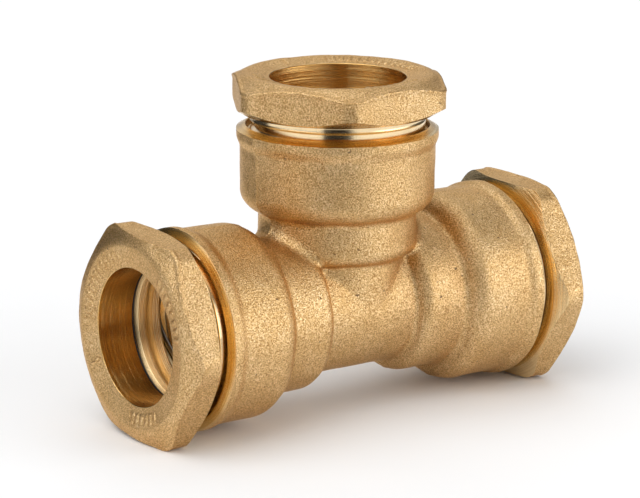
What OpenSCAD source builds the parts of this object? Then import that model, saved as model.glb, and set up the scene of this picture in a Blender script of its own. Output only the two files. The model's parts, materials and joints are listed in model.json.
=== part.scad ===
// Equal tee for plastic water pipe. A cast body has three sockets, and a gland nut is screwed
// into each one. The nut carries the parts that hold a pipe pushed into it.
//
// Frame: X runs along the straight-through line, Z points up the branch, and the origin is on
// the surface that the two run nuts stand on, halfway between their faces.
// Inside the port modules, z is the distance from the crossing, outwards along that port.

/* [Pipe] */
// Outside diameter of the pipe that the sockets take
pipe_d = 32; // [31.8:0.1:32.1]
// Bore of the gland nuts
nut_bore_d = 32.5; // [32.4:0.1:32.7]
// Bore of the pipe sockets in the body
socket_d = 32.7; // [32.5:0.1:32.9]
// Bore of the waterway
waterway_d = 26.5; // [24:0.5:27]

/* [Cast body] */
// Crossing of the axes to the edge of a run socket
run_rim = 45; // [44.5:0.1:46]
// Crossing of the axes to the edge of the branch socket
branch_rim = 43.1; // [42.8:0.1:44]
// Diameter of the barrel at the crossing
barrel_d = 31.4; // [31:0.1:32]
// Diameter of the necks
neck_d = 37.8; // [37.4:0.1:38.4]
// Crossing of the axes to the start of a neck
neck_start = 12.7; // [12:0.1:13.5]
// Diameter of the sockets
socket_outer_d = 46.4; // [46:0.1:46.6]
// Diameter of the lip around a socket's mouth
lip_d = 48; // [47.8:0.1:48.4]
// Length of a socket from its rim to its round shoulder
socket_length = 14.6; // [14.4:0.1:15.2]
// Radius of a socket's round shoulder
shoulder_r = 5; // [4.5:0.1:5.2]
// How far the mouth stands out past the outer edge of the end face
mouth_rise = 0.8; // [0.4:0.1:1]

/* [Gland nut] */
// Across the flats of the hexagon
hex_flats = 48.2; // [47.6:0.1:48.6]
// Across the rounded-off corners of the hexagon
hex_corners = 53.8; // [53:0.1:54.2]
// Thickness of the hexagon
hex_t = 9.1; // [8.8:0.1:9.3]
// Diameter of the flat ring that the face's chamfer starts from
hex_land_d = 44.5; // [44:0.1:45]
// Fall of the face's chamfer for each millimetre of radius
chamfer_slope = 0.55; // [0.5:0.05:0.6]
// Depth of the shallow dish around the bore
dish_depth = 1.15; // [0.9:0.05:1.2]
// Diameter of the threaded collar, over its thread
collar_d = 41.74; // [41.6:0.02:41.8]
// Length of the collar below the hexagon
collar_length = 13.7; // [13.5:0.1:13.8]

/* [Position of the nuts] */
// Gap between the left nut and the edge of its socket
left_gap = 4; // [3.6:0.1:4.4]
// Gap between the right nut, which is screwed in further, and the edge of its socket
right_gap = 2.9; // [2.6:0.1:3.6]
// Gap between the branch nut and the edge of its socket
branch_gap = 4.1; // [3.8:0.1:4.6]
// Turn of the left nut from lying flat, in degrees
left_turn = -3.8; // [-6:0.1:0]
// Turn of the right nut from lying flat, in degrees
right_turn = 1.6; // [0:0.1:3]
// Turn of the branch nut from square, in degrees
branch_turn = 1.2; // [-6:0.1:6]

/* [Grip, seals and springs] */
// Thickness of the dust seal
dust_seal_t = 0.45; // [0.4:0.05:0.5]
// Length of the grip ring
grip_length = 6.7; // [6.4:0.1:6.8]
// Width of the slot that lets the grip ring open
grip_slot = 2.2; // [1.5:0.1:4]
// Height of the wave spring
spring_h = 2.9; // [2.6:0.1:2.9]
// Thickness of the spring strip
spring_strip = 0.5; // [0.4:0.05:0.6]
// Waves around the spring
spring_waves = 4; // [3:1:6]
// Section diameter of the O-ring
o_ring_section = 3; // [2.9:0.02:3]
// Thickness of the thrust washer
thrust_washer_t = 1; // [0.8:0.1:1]
// Thickness of the back-up ring
backup_ring_t = 1; // [0.8:0.1:1]

/* [Hidden] */
$fn = 96;

// Colours
cast_brass = [0.76, 0.60, 0.38];
turned_brass = [0.85, 0.65, 0.30];
spring_steel = [0.75, 0.76, 0.78];
black_rubber = [0.08, 0.08, 0.08];
ring_plastic = [0.90, 0.88, 0.82];

// Ports: the side's turn, rim and gap are looked up by name
function rim(side) = side == "branch" ? branch_rim : run_rim;
function gap(side) = side == "left" ? left_gap : side == "right" ? right_gap : branch_gap;
function turn(side) = side == "left" ? left_turn : side == "right" ? right_turn : branch_turn;
// Corners of a run nut point along Y, and those of the branch nut along X
function hex_start(side) = side == "branch" ? 0 : 30;
// Underside of the hexagon, which every part carried by the nut is measured from
function hex_back(side) = rim(side) + gap(side);

// Radii
barrel_r = barrel_d / 2;
neck_r = neck_d / 2;
socket_outer_r = socket_outer_d / 2;
lip_r = lip_d / 2;
waterway_r = waterway_d / 2;
socket_r = socket_d / 2;
nut_bore_r = nut_bore_d / 2;
hex_r = hex_flats / 2 / cos(30);
corner_r = hex_corners / 2;
land_r = hex_land_d / 2;
back_land_r = 23.3;
back_slope = 0.6;
collar_r = collar_d / 2;
thread_clearance = 0.08;
mouth_r = collar_r + thread_clearance;
mouth_chamfer = 0.5;

// Body outside: lengths back from the rim
lip_length = 2;
lip_taper = 4.4;
neck_round = neck_r - barrel_r;
// Body inside: depths back from the rim
pipe_stop_depth = 26.5;
seal_chamber_depth = 18;
thread_depth = 13.4;
seal_chamber_r = 18.8;

// Inside the nut: depths below the hexagon's underside
bore_end_depth = 1.5;
seal_groove_depth = 2.05;
seal_groove_r = 18;
cone_end_depth = 9.2;
cone_small_r = 17.85;
cone_large_r = 18.5;
washer_groove_top = 12;
washer_groove_end = 13.2;
washer_groove_r = 18.85;
lip_bore_r = 18.3;
bore_chamfer = 0.4;
dish_r = 21.5;
collar_chamfer = 1.2;

// Clearances between the loose rings and their seats
seat_clearance = 0.08;
ring_bore_r = pipe_d / 2 + 0.4;
pipe_touch_r = pipe_d / 2 + 0.1;

// Grip ring: depths below the hexagon's underside
grip_top_depth = 2.4;
grip_end_depth = grip_top_depth + grip_length;
grip_lead_in = 0.7;
grip_rib_1_end = 4.8;
grip_rib_2_start = 7.1;
grip_groove_r = 17.1;

// Wave spring
spring_top_depth = grip_end_depth + 0.03;
spring_inner_r = 16.7;
spring_outer_r = 18.2;
spring_steps = 96;

// Height of the pipe line, from the lowest edge of the more turned run nut
lowest_turn = max(abs(left_turn), abs(right_turn));
line_height = corner_r * cos(acos(hex_flats / 2 / corner_r) - lowest_turn);

// Place of the crossing of the axes along X
crossing_x = (left_gap - right_gap) / 2;

// Places a port's parts, drawn outwards along z, on their side of the tee
module at_port(side) {
    tilt = side == "left" ? -90 : side == "right" ? 90 : 0;
    translate([crossing_x, 0, line_height]) rotate([0, tilt, 0]) children();
}

// A flat ring between two heights
module ring(inner_r, outer_r, z_low, z_high) {
    difference() {
        translate([0, 0, z_low]) cylinder(r = outer_r, h = z_high - z_low);
        translate([0, 0, z_low - 1]) cylinder(r = inner_r, h = z_high - z_low + 2);
    }
}

// Body

module port_outline(rim) {
    shoulder_z = rim - socket_length;
    neck_top = neck_start + neck_round;
    square([barrel_r, rim]);
    translate([0, neck_top]) square([neck_r, shoulder_z - neck_top]);
    translate([neck_r - neck_round, neck_top]) circle(neck_round);
    translate([socket_outer_r - shoulder_r, shoulder_z]) circle(shoulder_r);
    translate([0, shoulder_z]) square([socket_outer_r, socket_length - lip_taper]);
    polygon([
        [0, rim - lip_taper],
        [socket_outer_r, rim - lip_taper],
        [lip_r, rim - lip_length],
        [lip_r, rim],
        [mouth_r, rim + mouth_rise],
        [0, rim + mouth_rise]
    ]);
}

module port_cavity(rim) {
    mouth_z = rim + mouth_rise;
    rotate_extrude() polygon([
        [0, 0],
        [waterway_r, 0],
        [waterway_r, rim - pipe_stop_depth],
        [socket_r, rim - pipe_stop_depth],
        [socket_r, rim - seal_chamber_depth],
        [seal_chamber_r, rim - seal_chamber_depth],
        [seal_chamber_r, rim - thread_depth],
        [mouth_r, rim - thread_depth],
        [mouth_r, mouth_z - mouth_chamfer],
        [mouth_r + 2 * mouth_chamfer, mouth_z + mouth_chamfer],
        [0, mouth_z + mouth_chamfer]
    ]);
}

module tee_body() {
    color(cast_brass)
    difference() {
        for (side = ["left", "right", "branch"])
            at_port(side) rotate_extrude() port_outline(rim(side));
        for (side = ["left", "right", "branch"])
            at_port(side) port_cavity(rim(side));
    }
}

// Gland nut

module hexagon(side) {
    z_low = hex_back(side);
    z_high = z_low + hex_t;
    face_fall = chamfer_slope * (corner_r - land_r);
    back_fall = back_slope * (corner_r - back_land_r);
    intersection() {
        translate([0, 0, z_low]) rotate(hex_start(side) + turn(side))
            cylinder(r = hex_r, h = hex_t, $fn = 6);
        rotate_extrude() polygon([
            [0, z_low],
            [back_land_r, z_low],
            [corner_r, z_low + back_fall],
            [corner_r, z_high - face_fall],
            [land_r, z_high],
            [0, z_high]
        ]);
    }
}

module nut_cavity(side) {
    z_back = hex_back(side);
    z_face = z_back + hex_t;
    z_end = z_back - collar_length;
    rotate_extrude() polygon([
        [0, z_end - 1],
        [lip_bore_r, z_end - 1],
        [lip_bore_r, z_back - washer_groove_end],
        [washer_groove_r, z_back - washer_groove_end],
        [washer_groove_r, z_back - washer_groove_top],
        [cone_large_r, z_back - washer_groove_top],
        [cone_large_r, z_back - cone_end_depth],
        [cone_small_r, z_back - seal_groove_depth],
        [seal_groove_r, z_back - seal_groove_depth],
        [seal_groove_r, z_back - bore_end_depth],
        [nut_bore_r, z_back - bore_end_depth],
        [nut_bore_r, z_face - dish_depth - bore_chamfer],
        [nut_bore_r + bore_chamfer, z_face - dish_depth],
        [dish_r, z_face],
        [dish_r, z_face + 1],
        [0, z_face + 1]
    ]);
}

module nut(side) {
    z_back = hex_back(side);
    z_end = z_back - collar_length;
    color(cast_brass)
    at_port(side) difference() {
        union() {
            hexagon(side);
            rotate_extrude() polygon([
                [0, z_end],
                [collar_r - collar_chamfer, z_end],
                [collar_r, z_end + collar_chamfer],
                [collar_r, z_back + 1],
                [0, z_back + 1]
            ]);
        }
        nut_cavity(side);
    }
}

// Parts carried inside the nut

module dust_seal(side) {
    z_high = hex_back(side) - bore_end_depth - 0.03;
    color(black_rubber) at_port(side)
        ring(pipe_touch_r, seal_groove_r - seat_clearance, z_high - dust_seal_t, z_high);
}

// A split ring: its outside follows the nut's cone, and two ribs inside hold the pipe
module grip_ring(side) {
    z_back = hex_back(side);
    cone_fall = (cone_large_r - cone_small_r) / (cone_end_depth - seal_groove_depth);
    top_r = cone_small_r - seat_clearance + cone_fall * (grip_top_depth - seal_groove_depth);
    end_r = top_r + cone_fall * grip_length;
    color(turned_brass) at_port(side) difference() {
        rotate_extrude() polygon([
            [pipe_touch_r, z_back - grip_end_depth],
            [end_r, z_back - grip_end_depth],
            [top_r, z_back - grip_top_depth],
            [pipe_touch_r + grip_lead_in, z_back - grip_top_depth],
            [pipe_touch_r, z_back - grip_top_depth - grip_lead_in],
            [pipe_touch_r, z_back - grip_rib_1_end],
            [grip_groove_r, z_back - grip_rib_1_end],
            [grip_groove_r, z_back - grip_rib_2_start],
            [pipe_touch_r, z_back - grip_rib_2_start]
        ]);
        translate([-grip_slot / 2, -lip_r, z_back - grip_end_depth - 1])
            cube([grip_slot, lip_r, grip_length + 2]);
    }
}

// A ring of flat strip bent into waves, as a closed band of rectangular sections
module wave_spring(side) {
    z_high = hex_back(side) - spring_top_depth;
    middle = z_high - spring_h / 2;
    swing = (spring_h - spring_strip) / 2;
    function strip_z(i) = middle + swing * cos(360 * spring_waves * i / spring_steps);
    function around(r, i, z) = [r * cos(360 * i / spring_steps), r * sin(360 * i / spring_steps), z];
    half = spring_strip / 2;
    points = [
        for (i = [0 : spring_steps - 1])
            each [
                around(spring_inner_r, i, strip_z(i) - half),
                around(spring_outer_r, i, strip_z(i) - half),
                around(spring_outer_r, i, strip_z(i) + half),
                around(spring_inner_r, i, strip_z(i) + half)
            ]
    ];
    faces = [
        for (i = [0 : spring_steps - 1], k = [0 : 3])
            let (j = (i + 1) % spring_steps, m = (k + 1) % 4)
                [4 * i + k, 4 * i + m, 4 * j + m, 4 * j + k]
    ];
    color(spring_steel) at_port(side) polyhedron(points, faces);
}

module thrust_washer(side) {
    z_low = hex_back(side) - washer_groove_end + seat_clearance;
    color(turned_brass) at_port(side)
        ring(ring_bore_r, washer_groove_r - seat_clearance, z_low, z_low + thrust_washer_t);
}

// Parts seated in the body

module backup_ring(side) {
    z_low = rim(side) - seal_chamber_depth + 0.02;
    color(ring_plastic) at_port(side)
        ring(ring_bore_r, seal_chamber_r - 0.02, z_low, z_low + backup_ring_t);
}

module o_ring(side) {
    section_r = o_ring_section / 2;
    z_middle = rim(side) - seal_chamber_depth + backup_ring_t + section_r + 0.05;
    color(black_rubber) at_port(side) translate([0, 0, z_middle])
        rotate_extrude() translate([seal_chamber_r - 0.02 - section_r, 0]) circle(section_r);
}

tee_body();
for (side = ["left", "right", "branch"]) {
    nut(side);
    dust_seal(side);
    grip_ring(side);
    wave_spring(side);
    thrust_washer(side);
    o_ring(side);
    backup_ring(side);
}
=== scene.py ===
"""Push to connect pipe tee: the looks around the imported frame.

Shapes are worked out in millimetres and turned into metres when a mesh is made. The cast parts
are skins around a distance field, which is negative inside the metal. Everything that a lathe
would make is a turned solid, and it is cut out of the skin or joined to it.
In a port's own coordinates z runs outwards along the port.
"""

import json
import math

import bpy
import numpy as np
from mathutils import Matrix, Vector


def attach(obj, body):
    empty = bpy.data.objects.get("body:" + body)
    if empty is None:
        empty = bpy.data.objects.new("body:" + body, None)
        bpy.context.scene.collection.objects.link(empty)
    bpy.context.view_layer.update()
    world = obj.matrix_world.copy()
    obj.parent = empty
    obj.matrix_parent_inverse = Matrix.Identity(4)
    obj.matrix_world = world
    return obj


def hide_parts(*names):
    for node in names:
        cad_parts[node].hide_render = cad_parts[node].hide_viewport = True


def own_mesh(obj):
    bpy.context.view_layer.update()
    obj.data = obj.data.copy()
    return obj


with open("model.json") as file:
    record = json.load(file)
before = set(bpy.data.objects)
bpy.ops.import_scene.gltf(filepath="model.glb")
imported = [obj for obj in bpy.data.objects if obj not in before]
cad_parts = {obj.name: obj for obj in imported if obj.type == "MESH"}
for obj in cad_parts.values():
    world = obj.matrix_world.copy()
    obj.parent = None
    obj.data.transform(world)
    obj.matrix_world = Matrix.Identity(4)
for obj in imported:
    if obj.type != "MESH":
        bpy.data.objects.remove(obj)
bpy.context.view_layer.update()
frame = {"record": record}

MM = 0.001
TAU = 2 * math.pi

# ---------------------------------------------------------------- sizes, as in the CAD, in mm

# The body's outside
BARREL_R, NECK_R, SOCKET_R, LIP_R = 15.7, 18.9, 23.2, 24
NECK_START, SOCKET_LENGTH, SHOULDER_R = 12.7, 14.6, 5
LIP_TAPER, LIP_LENGTH, MOUTH_RISE = 4.4, 2, 0.8
RUN_RIM, BRANCH_RIM = 45, 43.1
# Its inside, with depths from the end face
WATERWAY_R, PIPE_SOCKET_R, CHAMBER_R, MOUTH_R = 13.25, 16.35, 18.8, 20.95
PIPE_STOP, CHAMBER, THREAD_END = 26.5, 18, 13.4

# The nut: half of its width over the flats and the corners, its thickness, and its two faces
FLATS, CORNERS, HEX_T = 24.1, 26.9, 9.1
FACE_LAND_R, FACE_SLOPE, BACK_LAND_R, BACK_SLOPE = 22.25, 0.55, 23.3, 0.6
DISH_DEPTH, DISH_R, BORE_R = 1.15, 21.5, 16.25
COLLAR_R, COLLAR_LENGTH, COLLAR_CHAMFER = 20.87, 13.7, 1.2

PITCH, THREAD_DEPTH, THREAD_PLAY = 2.309, 1.2, 0.09
THREAD_TOP = 3.1

# Depths from the hexagon's underside
SPRING_TOP, SPRING_HEIGHT, SPRING_TRAVEL, SPRING_FOOT = 9.13, 2.9, 1.2, 12.03

# rim: the end face, from the crossing. gap: from there to the hexagon. turns_in: how far the nut
# can still be screwed in. turn: the nut's own turn, and tilt: the port's, in degrees.
PORTS = {
    "left": {
        "rim": RUN_RIM, "gap": 4, "turns_in": 1.25, "turn": 30 - 3.8, "tilt": -90,
        "axis": (-1, 0, 0)},
    "right": {
        "rim": RUN_RIM, "gap": 2.9, "turns_in": 0.75, "turn": 30 + 1.6, "tilt": 90,
        "axis": (1, 0, 0)},
    "branch": {
        "rim": BRANCH_RIM, "gap": 4.1, "turns_in": 1.25, "turn": 1.2, "tilt": 0,
        "axis": (0, 0, 1)},
}
# The crossing of the axes: its place along the run, and its height above the floor
mounts = {m["name"]: m["pos_m"] for m in frame["record"]["mounts"]}
CROSSING_X, LINE = mounts["branch_port"][0] / MM, mounts["left_port"][2] / MM


def smoothstep(t):
    """A smooth rise from 0 to 1 as t goes from 0 to 1."""
    t = np.clip(t, 0, 1)
    return t * t * (3 - 2 * t)


# ---------------------------------------------------------------- camera

# The camera looks from where the photo was taken, with a long lens that is aimed near the crossing
VIEW_AZIMUTH = -35.245
view_azimuth, view_elevation, view_roll = (
    math.radians(a) for a in (VIEW_AZIMUTH, 13.985, 0.32))
aim = Vector((CROSSING_X - 3.27, 2.31, LINE + 13.082)) * MM
distance = 742.1 * MM
back = Vector((
    math.sin(view_azimuth) * math.cos(view_elevation),
    -math.cos(view_azimuth) * math.cos(view_elevation),
    math.sin(view_elevation),
))
level_right = Vector((math.cos(view_azimuth), math.sin(view_azimuth), 0))
level_up = back.cross(level_right)
right = level_right * math.cos(view_roll) + level_up * math.sin(view_roll)
up = level_up * math.cos(view_roll) - level_right * math.sin(view_roll)
camera_data = bpy.data.cameras.new("camera")
camera_data.sensor_fit = "HORIZONTAL"
camera_data.sensor_width = 36
camera_data.lens = 174.53
camera = bpy.data.objects.new("camera", camera_data)
bpy.context.collection.objects.link(camera)
camera.matrix_world = Matrix.Translation(aim + back * distance) @ Matrix(
    (right, up, back)
).transposed().to_4x4()
bpy.context.scene.camera = camera

# ---------------------------------------------------------------- materials

# The radius, in mm, at the far end of a ramp of radii
RADIUS_SPAN = 30


class Nodes:
    """The node tree of a new material or world, with short calls to add and link nodes."""

    def __init__(self, name, kind="materials", shader="Principled BSDF"):
        self.owner = getattr(bpy.data, kind).new(name)
        self.owner.use_nodes = True
        self.tree = self.owner.node_tree
        self.shader = self.tree.nodes[shader]

    def add(self, kind, inputs=(), **settings):
        """A node whose inputs are set to values or linked to other sockets, by name or number."""
        node = self.tree.nodes.new("ShaderNode" + kind)
        for key, value in settings.items():
            setattr(node, key, value)
        for key, value in dict(inputs).items():
            self.set(node.inputs[key], value)
        return node

    def set(self, socket, value):
        if isinstance(value, bpy.types.NodeSocket):
            self.tree.links.new(value, socket)
        else:
            socket.default_value = value

    def math(self, operation, *values):
        node = self.add("Math", enumerate(values), operation=operation)
        return node.outputs[0]

    def noise(self, coordinates, scale, detail=2.0, roughness=0.5):
        """Noise over the object, with its scale in features per millimetre."""
        node = self.add("TexNoise", {
            "Vector": coordinates, "Scale": scale / MM, "Detail": detail, "Roughness": roughness})
        return node.outputs["Fac"]

    def lines(self, along, scale, detail, roughness=0.5):
        """Noise that changes only along one value."""
        node = self.add("TexNoise", {
            "W": along, "Scale": scale, "Detail": detail, "Roughness": roughness},
            noise_dimensions="1D")
        return node.outputs["Fac"]

    def position(self):
        """The point's place in the object's own frame, in metres."""
        return self.add("TexCoord").outputs["Object"]

    def vector(self, operation, first, second, output="Vector"):
        return self.add("VectorMath", {0: first, 1: second}, operation=operation).outputs[output]

    def ramp(self, value, *stops):
        """Colours or greys at positions along a value."""
        node = self.add("ValToRGB", {"Fac": value})
        elements = node.color_ramp.elements
        while len(elements) < len(stops):
            elements.new(0.5)
        for element, (position, colour) in zip(elements, stops):
            element.position = position
            grey = isinstance(colour, (int, float))
            element.color = (colour, colour, colour, 1) if grey else (*colour, 1)
        return node.outputs["Color"]

    def by_radius(self, reach, *stops):
        """Colours or greys at radii in mm, for a radius given as a part of RADIUS_SPAN."""
        return self.ramp(reach, *((radius / RADIUS_SPAN, colour) for radius, colour in stops))

    def mix(self, factor, first, second, blend="MIX"):
        node = self.add("Mix", data_type="RGBA", blend_type=blend)
        for name, value in (("Factor", factor), ("A", first), ("B", second)):
            sockets = [s for s in node.inputs if s.name == name and s.enabled]
            if isinstance(value, tuple):
                value = (*value, 1)
            self.set(sockets[0], value)
        return [s for s in node.outputs if s.enabled][0]

    def bump(self, height, distance_mm, strength=1.0, below=None):
        inputs = {"Height": height, "Distance": distance_mm * MM, "Strength": strength}
        if below is not None:
            inputs["Normal"] = below
        return self.add("Bump", inputs).outputs["Normal"]

    def finish(self, **sockets):
        for name, value in sockets.items():
            self.set(self.shader.inputs[name.replace("_", " ")], value)
        return self.owner


def cast_brass():
    """Shot-blasted brass: a skin of fine dimples whose colour is the grain's own, with painted
    glints where the crests go pale and bluish and painted shade where the hollows go brown; a few
    small dark pits, and a thin coat that whitens the highlights."""
    n = Nodes("cast_brass")
    place = n.position()
    grain = n.noise(place, 3.1, 2.0, 0.55)
    fine = n.noise(place, 6.0, 1.0)
    patches = n.noise(place, 0.11, 3.0, 0.6)
    pits = n.noise(place, 0.7, 1.0)
    pit_mask = n.ramp(pits, (0.0, 1.0), (0.78, 1.0), (0.80, 0.0), (1.0, 0.0))
    tone = n.ramp(patches, (0.3, (0.61, 0.378, 0.14)), (0.7, (0.69, 0.463, 0.205)))
    # The grain's own colour, with painted glints on the crests (pale, bluish) and painted shade in
    # the hollows (brown)
    grain_glints_and_shade = n.ramp(
        grain, (0.33, (0.54, 0.43, 0.30)), (0.50, (0.96, 0.94, 0.90)), (0.67, (1.40, 1.52, 2.0)))
    colour = n.mix(1.0, tone, grain_glints_and_shade, "MULTIPLY")
    colour = n.mix(pit_mask, (0.20, 0.12, 0.05), colour)
    rough = n.ramp(grain, (0.33, 0.46), (0.67, 0.28))
    dimples = n.bump(grain, 0.18, 1.0)
    dimples = n.bump(fine, 0.04, 0.7, dimples)
    dimples = n.bump(pit_mask, 0.2, 0.8, dimples)
    return n.finish(Base_Color=colour, Metallic=1.0, Roughness=rough, Normal=dimples,
                    Specular_Tint=(0.94, 0.72, 0.44, 1), Coat_Weight=0.5, Coat_Roughness=0.4,
                    Coat_Normal=dimples)


def turned_brass(name, axis, centre_z=0.0, colour=(0.93, 0.67, 0.31), roughness=0.15):
    """Bright brass with the fine rings that a lathe tool leaves around that axis, which is at that
    height. Its colour is painted by radius: the bores deeper than the collars as painted shade, the
    collars and the lip's outer edge paler and bluer as painted highlights, and the end faces amber
    as painted shade."""
    n = Nodes(name)
    place = n.vector("ADD", n.position(), (0, 0, -centre_z))
    parts = n.add("SeparateXYZ", {0: place}).outputs
    along = parts[axis]
    across = [parts[k] for k in "XYZ" if k != axis]
    radius = n.math("SQRT", n.math("ADD", *(n.math("MULTIPLY", s, s) for s in across)))
    rings = n.math("ADD", n.math("MULTIPLY", radius, 1 / MM), n.math("MULTIPLY", along, 1 / MM))
    cut = n.lines(rings, 7.0, 3.0, 0.65)
    broad = n.lines(rings, 1.6, 2.0)
    stain = n.noise(place, 0.16, 3.0, 0.6)
    dark, light = (tuple(c * k for c in colour) for k in (0.86, 1.05))
    tone = n.ramp(stain, (0.3, dark), (0.7, light))
    tone = n.mix(n.ramp(broad, (0.35, 0.22), (0.6, 0.0)), tone, (0.52, 0.31, 0.11))
    reach = n.math("MULTIPLY", radius, 1 / (RADIUS_SPAN * MM))
    # Painted light by radius: bores deeper as painted shade, collars and the lip's outer edge paler
    # and bluer as painted highlights, end faces amber as painted shade
    bore, collar, amber_painted_shade, edge = (
        (1.0, 0.90, 0.72), (1.04, 1.12, 1.45), (0.86, 0.76, 0.55), (1.0, 1.04, 1.2))
    painted_light_tint = n.by_radius(reach, (17.5, bore), (18.5, collar), (20.95, collar), (21.15, amber_painted_shade),
                       (23.4, amber_painted_shade), (23.8, edge))
    tone = n.mix(1.0, tone, painted_light_tint, "MULTIPLY")
    depth = n.by_radius(reach, (17.5, 1.0), (18.5, 0.25), (20.95, 0.25), (21.15, 1.0))
    rough = n.ramp(cut, (0.3, roughness * 0.8), (0.7, roughness * 1.5))
    lines = n.bump(n.math("MULTIPLY", cut, depth), 0.05, 1.0)
    return n.finish(Base_Color=tone, Metallic=1.0, Roughness=rough, Normal=lines)


def spring_steel():
    """Rolled strip, with streaks along it."""
    n = Nodes("spring_steel")
    place = n.position()
    streaks = n.noise(n.vector("MULTIPLY", place, (1, 1, 6)), 1.4, 4.0, 0.7)
    tone = n.ramp(streaks, (0.3, (0.30, 0.29, 0.27)), (0.7, (0.46, 0.45, 0.43)))
    return n.finish(
        Base_Color=tone, Metallic=1.0, Roughness=n.ramp(streaks, (0.3, 0.34), (0.7, 0.48)),
        Normal=n.bump(streaks, 0.01, 0.6))


def rubber():
    """Black rubber with a little dust on it."""
    n = Nodes("rubber")
    place = n.position()
    grain = n.noise(place, 5.0, 2.0)
    dust = n.noise(place, 0.8, 4.0, 0.7)
    tone = n.ramp(dust, (0.35, (0.010, 0.010, 0.010)), (0.75, (0.035, 0.034, 0.032)))
    return n.finish(Base_Color=tone, Roughness=n.ramp(dust, (0.3, 0.34), (0.7, 0.55)),
                    Normal=n.bump(grain, 0.02, 0.5))


def ring_plastic():
    """Pale moulded plastic."""
    n = Nodes("ring_plastic")
    place = n.position()
    cloud = n.noise(place, 0.6, 3.0)
    grain = n.noise(place, 6.0, 1.0)
    tone = n.ramp(cloud, (0.3, (0.74, 0.70, 0.60)), (0.7, (0.82, 0.79, 0.70)))
    return n.finish(Base_Color=tone, Roughness=n.ramp(cloud, (0.3, 0.42), (0.7, 0.52)),
                    Normal=n.bump(grain, 0.01, 0.5))


CAST = cast_brass()
TURNED = turned_brass("turned_brass", "Z")
TURNED_RUN = turned_brass("turned_brass_run", "X", LINE * MM)
TURNED_GRIP = turned_brass(
    "turned_brass_grip", "Z", colour=(0.97, 0.80, 0.54), roughness=0.26)
STEEL, RUBBER, PLASTIC = spring_steel(), rubber(), ring_plastic()

# ---------------------------------------------------------------- mesh tools


def make_object(name, points, faces, materials, face_material=0):
    """A mesh object from points in mm. Faces are lists of point numbers."""
    mesh = bpy.data.meshes.new(name)
    mesh.from_pydata(np.asarray(points, float) * MM, [], faces)
    for material in materials:
        mesh.materials.append(material)
    mesh.polygons.foreach_set(
        "material_index", np.full(len(mesh.polygons), face_material, np.int32))
    mesh.update()
    obj = bpy.data.objects.new(name, mesh)
    bpy.context.collection.objects.link(obj)
    return obj


def skin(field, low, high, step, slab=16):
    """Points and quads of the closed surface where field(x, y, z) is zero. One point sits in each
    grid cell that the surface crosses, and is then moved onto the surface. The field is worked out
    in slabs of the grid, to save memory."""
    axes = [np.arange(a, b + step, step, dtype=np.float32) for a, b in zip(low, high)]
    x, y, z = axes[0][:, None, None], axes[1][None, :, None], axes[2][None, None, :]
    values = np.concatenate([field(x[i:i + slab], y, z) for i in range(0, len(x), slab)])
    inside = values < 0
    corners = np.zeros([n - 1 for n in inside.shape], np.int8)
    for i in (0, 1):
        for j in (0, 1):
            for k in (0, 1):
                corners += inside[i:inside.shape[0] - 1 + i, j:inside.shape[1] - 1 + j,
                                  k:inside.shape[2] - 1 + k]
    cells = np.argwhere((corners > 0) & (corners < 8))
    number = np.full(corners.shape, -1, np.int32)
    number[tuple(cells.T)] = np.arange(len(cells))
    points = np.array([a[0] for a in axes]) + (cells + 0.5) * step
    faces = []
    for axis in range(3):
        one, two = (axis + 1) % 3, (axis + 2) % 3
        near = np.moveaxis(inside, axis, 0)
        edges = np.argwhere(np.moveaxis(near[:-1] != near[1:], 0, axis))
        edges = edges[(edges[:, one] > 0) & (edges[:, two] > 0)]
        ring = []
        for a, b in ((0, 0), (-1, 0), (-1, -1), (0, -1)):
            cell = edges.copy()
            cell[:, one] += a
            cell[:, two] += b
            ring.append(number[tuple(cell.T)])
        quads = np.stack(ring, 1)
        outwards = inside[tuple(edges.T)]
        faces.append(quads[outwards])
        faces.append(quads[~outwards][:, ::-1])
    return settle(field, points), np.concatenate(faces)


def settle(field, points, rounds=6, reach=0.02, flattest=0.2, furthest=0.4):
    """Moves points along the field's slope onto the surface, in rounds of a short move each. The
    slope is taken over that reach, and its square counts as no less than the flattest."""
    for _ in range(rounds):
        x, y, z = points.T
        value = field(x, y, z)
        slope = np.stack([
            field(x + reach, y, z) - field(x - reach, y, z),
            field(x, y + reach, z) - field(x, y - reach, z),
            field(x, y, z + reach) - field(x, y, z - reach)], 1) / (2 * reach)
        size = np.maximum((slope * slope).sum(1), flattest)
        points = points - slope * np.clip(value / size, -furthest, furthest)[:, None]
    return points


def soft_min(a, b, blend):
    """The smaller of two fields, rounded over that length where they cross."""
    h = np.maximum(blend - np.abs(a - b), 0) / blend
    return np.minimum(a, b) - h * h * blend / 4


def soft_max(a, b, blend):
    return -soft_min(-a, -b, blend)


def waves(seed, count, shortest, longest):
    """A smooth random field of about unit size, made of plane waves of those lengths in mm."""
    rng = np.random.default_rng(seed)
    way = rng.normal(size=(count, 3))
    way /= np.linalg.norm(way, axis=1)[:, None]
    way *= TAU / rng.uniform(shortest, longest, count)[:, None]
    phase = rng.uniform(0, TAU, count)
    gain = math.sqrt(2 / count)
    return lambda x, y, z: gain * sum(
        np.sin(w[0] * x + w[1] * y + w[2] * z + p) for w, p in zip(way, phase))


def fine(*rows, step=0.15):
    """Points along a run of (radius, z) rows, no further apart than the step."""
    out = [rows[0]]
    for a, b in zip(rows, rows[1:]):
        count = max(1, math.ceil(math.dist(a, b) / step))
        way = np.array(b) - np.array(a)
        out += [tuple(np.array(a) + way * i / count) for i in range(1, count + 1)]
    return out


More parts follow.
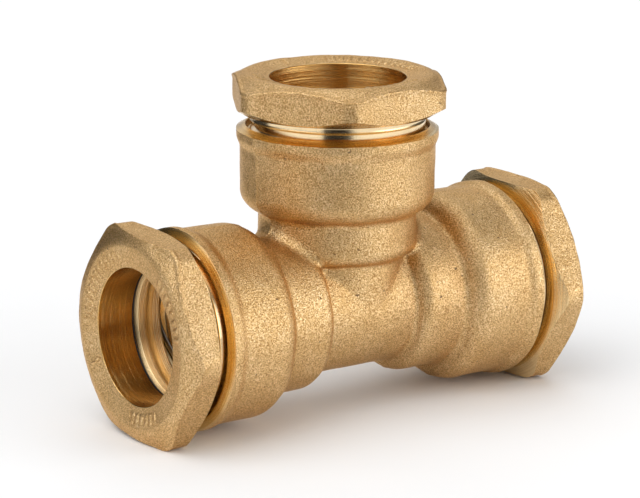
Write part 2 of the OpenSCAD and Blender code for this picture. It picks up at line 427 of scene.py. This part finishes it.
def lathe(name, rows, materials, steps=240, shape=None, closed=False, face_material=0):
    """A solid turned about z from (radius, z) rows, listed so that z rises along the outside. An
    open list starts and ends on the axis, and a closed one goes round a ring's section.
    shape(radius, angle, z) may change the radius."""
    rows = np.array(rows, float)
    angle = np.arange(steps) * TAU / steps
    if not closed:
        poles, rows = rows[[0, -1]], rows[1:-1]
    radius = np.repeat(rows[:, :1], steps, 1)
    z = np.repeat(rows[:, 1:], steps, 1)
    if shape:
        radius = shape(radius, angle[None, :], z)
    grid = np.stack([radius * np.cos(angle), radius * np.sin(angle), z], 2).reshape(-1, 3)
    count = len(rows)
    i, j = np.meshgrid(np.arange(count if closed else count - 1), np.arange(steps), indexing="ij")
    i, j = i.ravel(), j.ravel()
    up_row, next_step = (i + 1) % count, (j + 1) % steps
    faces = np.stack([i * steps + j, i * steps + next_step, up_row * steps + next_step,
                      up_row * steps + j], 1).tolist()
    if not closed:
        base = len(grid)
        grid = np.concatenate([grid, [[0, 0, poles[0][1]], [0, 0, poles[1][1]]]])
        last = (count - 1) * steps
        for k in range(steps):
            faces.append([base, (k + 1) % steps, k])
            faces.append([base + 1, last + k, last + (k + 1) % steps])
    return make_object(name, grid, faces, materials, face_material)


def carve(obj, tool, operation):
    """Cuts a tool out of an object, or joins it on. The tool is used up."""
    modifier = obj.modifiers.new("carve", "BOOLEAN")
    modifier.object = tool
    modifier.operation = operation
    modifier.solver = "MANIFOLD"
    graph = bpy.context.evaluated_depsgraph_get()
    mesh = bpy.data.meshes.new_from_object(obj.evaluated_get(graph), depsgraph=graph)
    obj.modifiers.clear()
    old, obj.data = obj.data, mesh
    bpy.data.meshes.remove(old)
    bpy.data.meshes.remove(tool.data)


def shade(obj, angle=35):
    """Smooth shading, with the edges sharper than that angle left sharp."""
    obj.data.shade_smooth()
    obj.data.set_sharp_from_angle(angle=math.radians(angle))


# ---------------------------------------------------------------- the thread

THREAD_START = -COLLAR_LENGTH
LAST_TURN = (COLLAR_LENGTH - THREAD_TOP) / PITCH
RUN_OUT = 0.2
CREST, FLANK = 0.86, 0.72


def thread_cut(angle, z, last_turn=LAST_TURN):
    """Depth of the nut's thread groove, from 0 at a crest, with z from the hexagon's underside.
    The groove runs out over the last fifth of a turn. Crest and flank are parts of half a pitch."""
    turns = (z - THREAD_START) / PITCH - angle / TAU
    whole = np.round(turns)
    across = np.abs(turns - whole) * 2
    flank = smoothstep((CREST - across) / FLANK)
    along = whole + angle / TAU
    return THREAD_DEPTH * flank * smoothstep((last_turn - along) / RUN_OUT)


# ---------------------------------------------------------------- the cast body

BODY_GRID, SPARE = 0.42, 2.5
NECK_BLEND, SOCKET_BLEND, LIP_BLEND = 1.3, 1.6, 0.3
CROTCH_BLEND, LEAST_BLEND = 3.2, 0.05
FLASH_HEIGHT, FLASH_WIDTH, MOULD_STEP, STEP_WIDTH = 0.13, 0.45, 0.05, 0.6
BODY_UNEVEN, BODY_INSET = 0.045, 0.03


def step_field(r, z, radius, start, rounding):
    """Inside a shaft that starts at that z, with its first edge rounded."""
    u, v = r - radius + rounding, start - z + rounding
    outside = np.hypot(np.maximum(u, 0), np.maximum(v, 0))
    return np.minimum(np.maximum(u, v), 0) + outside - rounding


def port_field(r, z, rim):
    """The cast outside of a port: barrel, neck, socket and lip. It goes on past the end face by
    what is spare, to be faced off."""
    neck = step_field(r, z, NECK_R, NECK_START, NECK_R - BARREL_R)
    lip_taper = LIP_TAPER - LIP_LENGTH + LIP_BLEND
    lip = (LIP_R - SOCKET_R) * smoothstep((z - rim + LIP_TAPER) / lip_taper)
    socket = step_field(r - lip, z, SOCKET_R, rim - SOCKET_LENGTH - SHOULDER_R, SHOULDER_R)
    shaft = soft_min(soft_min(r - BARREL_R, neck, NECK_BLEND), socket, SOCKET_BLEND)
    return np.maximum(shaft, z - rim - SPARE)


body_waves = waves(11, 26, 5, 14)


def body_field(x, y, z):
    """The body's cast skin, with z from the pipe line. Its mould closes on the plane y = 0, and
    leaves a flash and a slight step there."""
    run_r, branch_r = np.hypot(y, z), np.hypot(x, y)
    run = port_field(run_r, np.abs(x), RUN_RIM)
    branch = np.maximum(port_field(branch_r, z, BRANCH_RIM), -z)
    facing = y * y / np.maximum(run_r * branch_r, 1)
    joined = soft_min(run, branch, LEAST_BLEND + CROTCH_BLEND * (1 - facing))
    flash = (FLASH_HEIGHT * np.exp(-((y / FLASH_WIDTH) ** 2))
             + MOULD_STEP * smoothstep(y / STEP_WIDTH + 0.5))
    return joined - flash - BODY_UNEVEN * body_waves(x, y, z) + BODY_INSET


def port_matrix(side, z=0.0):
    """Places a piece drawn about z on its port, that far out from the crossing, in metres."""
    return (Matrix.Translation((CROSSING_X * MM, 0, LINE * MM))
            @ Matrix.Rotation(math.radians(PORTS[side]["tilt"]), 4, "Y")
            @ Matrix.Translation((0, 0, z * MM)))


def body_thread(side):
    """The body's thread, which runs beside the nut's with a little play. It stops where the nut's
    own thread ends when the nut is screwed right in."""
    port = PORTS[side]
    last_turn = LAST_TURN - port["turns_in"] - RUN_OUT
    turn, back = math.radians(port["turn"]), port["rim"] + port["gap"]

    def shape(radius, angle, z):
        cut = COLLAR_R + THREAD_PLAY - thread_cut((angle - turn) % TAU, z - back, last_turn)
        in_thread = (z > port["rim"] - THREAD_END + 0.01) & (radius < MOUTH_R + 0.3)
        return np.where(in_thread, np.maximum(radius, cut), radius)

    return shape


def port_cutter(side, start):
    """What is taken out of the casting at a port: the waterway, pipe socket, seal chamber, thread,
    and all that stands past the turned end face."""
    rim = PORTS[side]["rim"]
    mouth = rim + MOUTH_RISE
    core = COLLAR_R + THREAD_PLAY - THREAD_DEPTH
    rows = [
        (0, start), (WATERWAY_R, start), (WATERWAY_R, rim - PIPE_STOP - 0.3),
        (WATERWAY_R + 0.3, rim - PIPE_STOP),
        (PIPE_SOCKET_R, rim - PIPE_STOP), (PIPE_SOCKET_R, rim - CHAMBER - 0.4),
        (PIPE_SOCKET_R + 0.4, rim - CHAMBER), (CHAMBER_R, rim - CHAMBER),
        (CHAMBER_R, rim - THREAD_END),
        *fine((core, rim - THREAD_END), (core, mouth - 2.6)),
        *fine((core, mouth - 2.6), (MOUTH_R + 0.5, mouth - 1.5),
              (MOUTH_R + 0.85, mouth - 0.15), step=0.1),
        (MOUTH_R + 1.0, mouth), (MOUTH_R + 1.2, mouth - 0.05),
        (LIP_R - 0.4, rim - 0.02), (LIP_R + 0.25, rim - 0.35), (LIP_R + 4, rim - 4.1),
        (LIP_R + 4, rim + 4), (0, rim + 4),
    ]
    tool = lathe("cutter", rows, [CAST, TURNED_RUN, TURNED], shape=body_thread(side),
                 face_material=2 if side == "branch" else 1)
    tool.matrix_world = port_matrix(side)
    return tool


def make_body():
    """The casting, with all three ports machined into it."""
    points, faces = skin(body_field, (-50, -26, -26), (50, 26, 48), BODY_GRID)
    body = make_object(
        "tee_casting", points + (CROSSING_X, 0, LINE), faces, [CAST, TURNED_RUN, TURNED])
    # The waterways start at the crossing, where the right one overlaps the left one a little
    for side, start in (("left", 0), ("right", -0.01), ("branch", 0)):
        carve(body, port_cutter(side, start), "DIFFERENCE")
    shade(body)
    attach(body, "tee")
    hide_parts("tee_body")
    return body


# ---------------------------------------------------------------- the gland nuts

NUT_GRID, NUT_SPARE = 0.34, 3
NUT_UNEVEN, NUT_INSET = 0.035, 0.02
CORNER_BLEND, ROUND_BLEND, CONE_BLEND, EDGE_BLEND, BACK_BLEND = 0.4, 0.5, 0.6, 0.35, 0.1
BEAD_HEIGHT, BEAD_SPREAD = 0.24, 0.2

nut_waves = waves(23, 22, 4, 11)
# Arcs of the face that carry raised ticks, in degrees from a corner
TICK_ARCS = [(0, 62), (93, 97), (148, 186), (252, 300), (344, 360)]
TICK_SPACING, TICK_R, TICK_LENGTH, TICK_HEIGHT = 6.0, 19.2, 2.5, 0.28
TICK_HALF, TICK_SIDE, TICK_END = 0.72, 0.42, 0.4


def face_relief(x, y):
    """Plain raised ticks around the face, with sloping sides and ends."""
    angle = np.degrees(np.arctan2(y, x)) % 360
    radius = np.hypot(x, y)
    phase = (angle / TICK_SPACING) % 1 - 0.5
    aside = np.abs(phase) * math.radians(TICK_SPACING) * radius
    across = smoothstep((TICK_HALF - aside) / TICK_SIDE)
    along = smoothstep((TICK_LENGTH / 2 + TICK_END / 2 - np.abs(radius - TICK_R)) / TICK_END)
    marked = sum(((angle > a) & (angle < b)) for a, b in TICK_ARCS)
    return TICK_HEIGHT * (across * along) * marked


def nut_field(x, y, z):
    """The nut's cast hexagon, with z from its underside. It goes on below that, to be faced off.
    A low bead follows the edge between the sides and the face."""
    r = np.hypot(x, y)
    across = [
        np.abs(x * math.cos(a) + y * math.sin(a)) for a in (TAU / 12, TAU / 4, 5 * TAU / 12)]
    flats = soft_max(
        soft_max(across[0], across[1], CORNER_BLEND), across[2], CORNER_BLEND) - FLATS
    sides = soft_max(flats, r - CORNERS, ROUND_BLEND)
    cone = (z - HEX_T + FACE_SLOPE * (r - FACE_LAND_R)) / math.hypot(1, FACE_SLOPE)
    dish = DISH_DEPTH * np.clip((DISH_R - r) / (DISH_R - BORE_R), 0, 1)
    face = z - HEX_T + dish - face_relief(x, y)
    top = soft_max(face, cone, CONE_BLEND)
    bead = BEAD_HEIGHT * np.exp(-(sides * sides + top * top) / BEAD_SPREAD)
    solid = soft_max(soft_max(sides, top, EDGE_BLEND), -z - NUT_SPARE, BACK_BLEND)
    return solid - bead - NUT_UNEVEN * nut_waves(x, y, z) + NUT_INSET


def thread_shape(radius, angle, z):
    """Cuts the nut's thread into the collar's outside."""
    outside = ((radius > COLLAR_R - COLLAR_CHAMFER - 0.1) & (z < -THREAD_TOP + PITCH / 2)
               & (z > THREAD_START - 0.01))
    return np.where(outside, np.minimum(radius, COLLAR_R - thread_cut(angle, z)), radius)


def make_nut():
    """The cast hexagon, faced off underneath, with its turned collar and its bore."""
    points, faces = skin(nut_field, (-28, -28, -4), (28, 28, 10.5), NUT_GRID)
    nut = make_object("nut", points, faces, [CAST, TURNED])
    under = [(0, -5), (BACK_LAND_R + 8, -5), (BACK_LAND_R + 8, 8 * BACK_SLOPE),
             (BACK_LAND_R, 0.0), (0, 0.0)]
    carve(nut, lathe("under", under, [CAST, TURNED], face_material=1), "DIFFERENCE")
    end = -COLLAR_LENGTH
    collar = [
        (0, end), (COLLAR_R - COLLAR_CHAMFER, end),
        *fine((COLLAR_R - COLLAR_CHAMFER, end + 0.001), (COLLAR_R, end + COLLAR_CHAMFER),
              (COLLAR_R, -THREAD_TOP)),
        (COLLAR_R, -2.0), (COLLAR_R - 0.07, -1.93), (COLLAR_R - 0.3, -1.5),
        (COLLAR_R - 0.32, -1.4), (COLLAR_R - 0.32, -0.25), (COLLAR_R - 0.22, -0.08),
        (COLLAR_R - 0.05, 0.02), (COLLAR_R - 0.05, 1), (0, 1),
    ]
    carve(nut, lathe("collar", collar, [CAST, TURNED], shape=thread_shape, face_material=1),
          "UNION")
    face = HEX_T - DISH_DEPTH
    # From the collar's end: its mouth, the washer's groove, the spring's room, the grip ring's
    # cone, the dust seal's groove and the bore
    hollow = [
        (0, end - 1), (18.6, end - 1), (18.6, end - 0.01), (18.3, end + 0.3),
        (18.3, -13.2), (18.85, -13.2), (18.85, -12), (18.5, -12),
        (18.5, -9.2), (17.85, -2.05), (18, -2.05), (18, -1.5),
        (BORE_R + 0.15, -1.5), *fine((BORE_R, -1.35), (BORE_R, face - 0.1), step=1),
        (BORE_R + 0.1, face), (BORE_R + 0.1, HEX_T + 2), (0, HEX_T + 2),
    ]
    carve(nut, lathe("hollow", hollow, [CAST, TURNED], face_material=1), "DIFFERENCE")
    shade(nut)
    return nut


# ---------------------------------------------------------------- the parts inside

TOOTH, TOOTH_R, TOOTH_ROOT_R = 0.45, 16.1, 16.24
# The grip ring's cone widens from its top towards its end
GRIP_TOP, GRIP_TOP_R, GRIP_END, CONE_SLOPE = 2.4, 17.8018, 9.1, 0.65 / 7.15
SPLIT_HALF = 1.1
O_RING_R, O_RING_HALF, O_RING_Z, O_RING_STEPS = 17.28, 1.5, -15.45, 32


def ring_rows(inner, outer, low, high, edge):
    """The section of a flat ring with its edges broken."""
    return [
        (inner + edge, low), (outer - edge, low), (outer, low + edge), (outer, high - edge),
        (outer - edge, high), (inner + edge, high), (inner, high - edge), (inner, low + edge)]


def rib(low, high):
    """The toothed inside of one of the grip ring's ribs."""
    count = round((high - low) / TOOTH)
    rows = []
    for i in range(count):
        a = high - (high - low) * i / count
        rows += [(TOOTH_R, a - 0.03), (TOOTH_R, a - 0.12), (TOOTH_ROOT_R, a - 0.3),
                 (TOOTH_ROOT_R, a - (high - low) / count + 0.06)]
    return rows


def make_grip():
    """The split ring: a cone outside, and two ribs inside with fine teeth."""
    end_r = GRIP_TOP_R + CONE_SLOPE * (GRIP_END - GRIP_TOP)
    rows = [
        (16.3, -GRIP_END), (end_r - 0.15, -GRIP_END), (end_r, -8.95),
        (GRIP_TOP_R, -2.55), (GRIP_TOP_R - 0.15, -GRIP_TOP), (16.9, -GRIP_TOP), (16.2, -3.05),
        *rib(-4.75, -3.1), (16.16, -4.8), (17.05, -4.8), (17.1, -4.85), (17.1, -7.05),
        (17.05, -7.1), (16.16, -7.1), *rib(-9.02, -7.14)]
    ring = lathe("grip", rows, [TURNED_GRIP], steps=288, closed=True)
    slot = [(x, y, z) for x in (-SPLIT_HALF, SPLIT_HALF) for y in (-25, -10) for z in (-10, -1)]
    sides = [(0, 1, 3, 2), (4, 6, 7, 5), (0, 4, 5, 1), (2, 3, 7, 6), (0, 2, 6, 4), (1, 5, 7, 3)]
    carve(ring, make_object("slot", slot, sides, [TURNED_GRIP]), "DIFFERENCE")
    return ring


def make_spring():
    """A strip bent into waves, with its edges broken."""
    inner, outer, strip, count, steps = 16.7, 18.2, 0.5, 4, 288
    section = ring_rows(inner, outer, -strip / 2, strip / 2, 0.1)
    middle = -SPRING_TOP - SPRING_HEIGHT / 2
    swing = (SPRING_HEIGHT - strip) / 2
    grid = []
    for x, z in section:
        for k in range(steps):
            a = TAU * k / steps
            height = middle + z + swing * math.cos(count * a)
            grid.append((x * math.cos(a), x * math.sin(a), height))
    m = len(section)
    faces = [[i * steps + j, i * steps + (j + 1) % steps,
              (i + 1) % m * steps + (j + 1) % steps, (i + 1) % m * steps + j]
             for i in range(m) for j in range(steps)]
    return make_object("spring", grid, faces, [STEEL])


def put(template, side, name, z, body, node, turn=0):
    """A copy of a template's mesh, turned about its axis, on its port and riding its body, in the
    place of one of that port's CAD nodes."""
    mesh = template.data.copy()
    mesh.transform(Matrix.Rotation(math.radians(turn), 4, "Z"))
    piece = bpy.data.objects.new(f"{side}_{name}", mesh)
    bpy.context.collection.objects.link(piece)
    piece.matrix_world = port_matrix(side, z)
    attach(piece, body)
    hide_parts(f"{side}_{node}")
    return piece


make_body()
nut = make_nut()
dust_seal = lathe("seal", [
    (16.14, -1.7), (16.2, -1.8), (16.5, -1.9), (17.85, -1.98), (17.92, -1.93), (17.92, -1.58),
    (17.87, -1.53), (16.5, -1.53), (16.2, -1.6)], [RUBBER], closed=True)
grip = make_grip()
washer = lathe(
    "washer", ring_rows(16.4, 18.77, -13.12, -12.12, 0.12), [TURNED_GRIP], closed=True)
spring = make_spring()
o_ring = lathe("o_ring", [
    (O_RING_R + O_RING_HALF * math.sin(TAU * k / O_RING_STEPS),
     O_RING_Z - O_RING_HALF * math.cos(TAU * k / O_RING_STEPS))
    for k in range(O_RING_STEPS)], [RUBBER], closed=True)
backup = lathe("backup", ring_rows(16.4, 18.78, -17.98, -16.98, 0.12), [PLASTIC], closed=True)
for template in (dust_seal, grip, washer, spring, o_ring, backup):
    shade(template)

for side, port in PORTS.items():
    rim = port["rim"]
    hex_back = rim + port["gap"]
    carrier = f"{side}_carrier"
    put(nut, side, "gland_nut", hex_back, f"{side}_nut", "nut", port["turn"])
    put(dust_seal, side, "wiper", hex_back, carrier, "dust_seal")
    put(grip, side, "split_ring", hex_back, f"{side}_grip", "grip_ring")
    put(washer, side, "washer", hex_back, carrier, "thrust_washer")
    wave = put(spring, side, "spring", hex_back, carrier, "wave_spring")
    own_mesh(wave)
    put(o_ring, side, "seal_ring", rim, "tee", "o_ring")
    put(backup, side, "support_ring", rim, "tee", "backup_ring")
for template in (nut, dust_seal, grip, washer, spring, o_ring, backup):
    bpy.data.objects.remove(template)

# ---------------------------------------------------------------- floor and light


def matt(name, darkest, lightest, roughness, detail=2.0):
    """A matt grey with very slight clouds in it."""
    n = Nodes(name)
    cloud = n.noise(n.position(), 0.01, detail)
    return n.finish(Base_Color=n.ramp(cloud, (0.3, darkest), (0.7, lightest)), Roughness=roughness)


size = 4000
floor = make_object(
    "floor", [(-size, -size, 0), (size, -size, 0), (size, size, 0), (-size, size, 0)],
    [(0, 1, 2, 3)], [matt("floor", 0.90, 0.92, 0.8, detail=3.0)])

studio = Nodes("studio", "worlds", "Background")
outwards = studio.add("TexCoord").outputs["Generated"]
light = 0.11
# Soft panels in the walls of the studio: azimuth right of straight in front, elevation, the
# cosine of the angle from a panel's middle to its edge, and its strength
for azimuth, elevation, edge, strength in (
    (15, 10, 0.8, 0.85),
    (45, 10, 0.8, 2.55),
    (150, 10, 0.8, 0.3),
    (-90, 45, 0.7, 2.05),
    (-30, 45, 0.7, 0.65),
    (150, 45, 0.7, 0.7),
    (0, 90, 0.7, 0.9),
):
    a, e = math.radians(azimuth), math.radians(elevation)
    way = (math.sin(a) * math.cos(e), -math.cos(a) * math.cos(e), math.sin(e))
    near = studio.vector("DOT_PRODUCT", outwards, way, "Value")
    panel = studio.add("MapRange", {
        "Value": near, "From Min": edge, "From Max": 1.0, "To Min": 0.0, "To Max": strength},
        interpolation_type="SMOOTHSTEP").outputs[0]
    light = studio.math("ADD", light, panel)
bpy.context.scene.world = studio.finish(Color=(0.985, 0.99, 1.0, 1), Strength=light)

black = matt("card", 0.012, 0.016, 0.9)
# Black cards that only the gloss sees: azimuth, distance, half width and height
for azimuth, away, half, tall in ((VIEW_AZIMUTH, 150, 48, 300), (-155, 200, 70, 300)):
    a = math.radians(azimuth)
    facing = Vector((math.sin(a), -math.cos(a), 0))
    aside = Vector((-facing.y, facing.x, 0))
    foot, top = facing * away, Vector((0, 0, tall))
    card = make_object("card", [tuple(foot - aside * half), tuple(foot + aside * half),
                                tuple(foot + aside * half + top), tuple(foot - aside * half + top)],
                       [(0, 1, 2, 3)], [black])
    card.visible_camera = card.visible_diffuse = card.visible_shadow = False

bpy.context.scene.view_settings.view_transform = "Standard"
bpy.context.scene.view_settings.look = "None"
